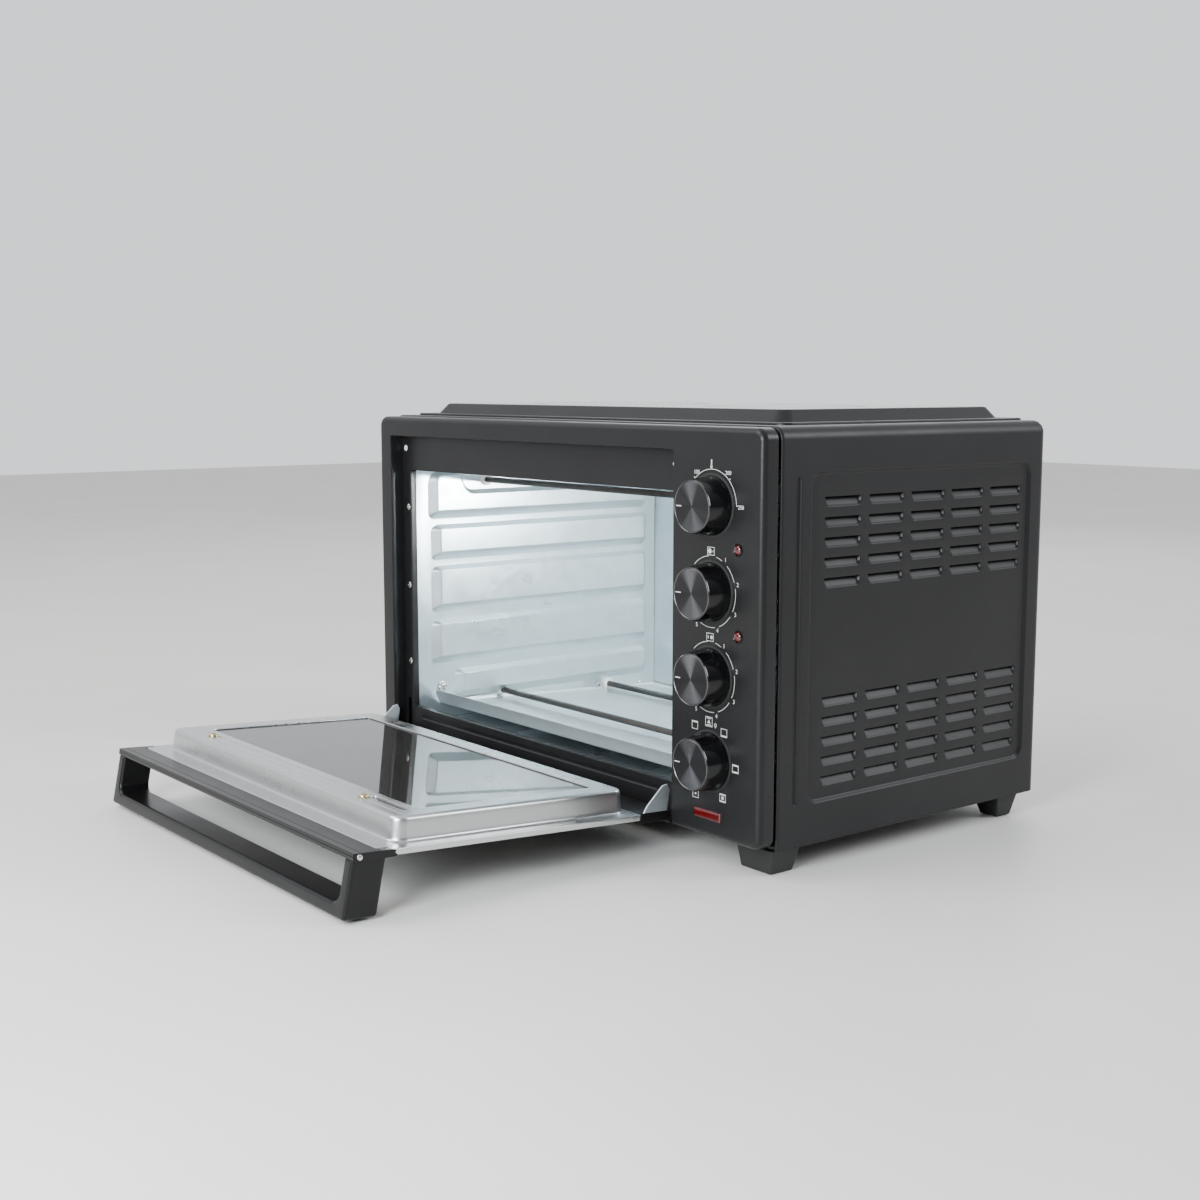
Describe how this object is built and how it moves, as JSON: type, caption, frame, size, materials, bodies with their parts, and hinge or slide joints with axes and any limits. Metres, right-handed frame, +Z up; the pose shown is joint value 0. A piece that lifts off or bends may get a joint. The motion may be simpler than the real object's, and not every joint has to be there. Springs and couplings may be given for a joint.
{
  "type": "toaster oven",
  "caption": "Countertop toaster oven: black louvred casing, bottom-hinged double-glazed door with bar handle, pull-out crumb tray, column of rotary controls and a flat hob plate on top.",
  "frame": {"origin": "centre of the bounding box at floor level, with the door open as stored", "axes": "+Z up, -Y towards the user (the open door points that way), +X to the user's right, where the controls are"},
  "size_m": [0.5844, 0.684, 0.3783],
  "materials": {
    "black_coated_steel": "semi-matt textured powder coat",
    "galvanised_sheet": "bright rolled zinc-coated sheet",
    "satin_steel": "satin",
    "door_glass": "clear tempered glass",
    "hob_glass": "polished black glass",
    "black_moulding": "semi-gloss heat-resistant moulding",
    "dark_spun_disc": "dark anodised, spun",
    "red_lens": "translucent red",
    "white_silicone": "matt",
    "heater_sheath": "matt oxidised steel tube",
    "ceramic": "unglazed ceramic",
    "lamp_glass": "clear heat-resistant glass",
    "switch_body": "moulded phenolic",
    "black_rubber": "matt",
    "brass": "yellow passivated"
  },
  "bodies": {
    "oven_body": {"outer_housing": "black_coated_steel", "rear_panel": "black_coated_steel", "base_pan": "galvanised_sheet", "front_fascia": "black_coated_steel", "door_buffer_left": "white_silicone", "door_buffer_right": "white_silicone", "power_lens": "red_lens", "pilot_lens_upper": "red_lens", "pilot_lens_lower": "red_lens", "liner_left": "galvanised_sheet", "liner_right": "galvanised_sheet", "liner_roof_back": "galvanised_sheet", "liner_floor": "galvanised_sheet", "liner_screw_left": "satin_steel", "lower_element_front": "heater_sheath", "lower_element_rear": "heater_sheath", "upper_element_front": "heater_sheath", "upper_element_rear": "heater_sheath", "lamp_lens": "lamp_glass", "lamp_holder": "ceramic", "oven_lamp": "lamp_glass", "oven_thermostat": "switch_body", "hob_switch_left": "switch_body", "hob_switch_right": "switch_body", "function_switch": "switch_body", "terminal_block": "ceramic", "cord_bushing": "black_rubber", "hob_platform": "black_coated_steel", "hob_glass": "hob_glass", "hob_heater_left": "ceramic", "hob_heater_right": "ceramic", "foot_front_left": "black_rubber", "foot_rear_left": "black_rubber", "foot_front_right": "black_rubber", "foot_rear_right": "black_rubber", "hinge_pin_left": "satin_steel", "hinge_pin_right": "satin_steel"},
    "door": {"door_outer_glass": "door_glass", "door_inner_frame": "satin_steel", "door_inner_glass": "door_glass", "door_top_trim": "black_moulding", "door_bottom_bar": "black_moulding", "hinge_stay_left": "galvanised_sheet", "hinge_stay_right": "galvanised_sheet", "retainer_screw_left": "brass", "retainer_screw_right": "brass", "door_handle": "black_moulding"},
    "crumb_tray": {"crumb_tray": "galvanised_sheet"},
    "knob_thermostat": {"knob_thermostat": "black_moulding", "knob_cap_thermostat": "dark_spun_disc", "shaft_thermostat": "satin_steel"},
    "knob_hob_left": {"knob_hob_left": "black_moulding", "knob_cap_hob_left": "dark_spun_disc", "shaft_hob_left": "satin_steel"},
    "knob_hob_right": {"knob_hob_right": "black_moulding", "knob_cap_hob_right": "dark_spun_disc", "shaft_hob_right": "satin_steel"},
    "knob_function": {"knob_function": "black_moulding", "knob_cap_function": "dark_spun_disc", "shaft_function": "satin_steel"}
  },
  "joints": [
    {"name": "door_hinge", "type": "hinge", "parent": "oven_body", "child": "door", "pos_m": [0, -0.02, 0.0287], "axis": [-1, 0, 0], "range_deg": [0, 86.6]},
    {"name": "crumb_tray_slide", "type": "slide", "parent": "oven_body", "child": "crumb_tray", "axis": [0, 0.9987, -0.0504], "range_m": [-0.2115, 0]},
    {"name": "thermostat_knob_turn", "type": "hinge", "parent": "oven_body", "child": "knob_thermostat", "pos_m": [0.2325, -0.046, 0.3013], "axis": [0, 1, 0], "range_deg": [0, 180]},
    {"name": "hob_left_knob_turn", "type": "hinge", "parent": "oven_body", "child": "knob_hob_left", "pos_m": [0.2325, -0.046, 0.2308], "axis": [0, 1, 0], "range_deg": [0, 300]},
    {"name": "hob_right_knob_turn", "type": "hinge", "parent": "oven_body", "child": "knob_hob_right", "pos_m": [0.2325, -0.046, 0.1603], "axis": [0, 1, 0], "range_deg": [0, 300]},
    {"name": "function_knob_turn", "type": "hinge", "parent": "oven_body", "child": "knob_function", "pos_m": [0.2325, -0.046, 0.0898], "axis": [0, 1, 0], "range_deg": [0, 315]}
  ]
}
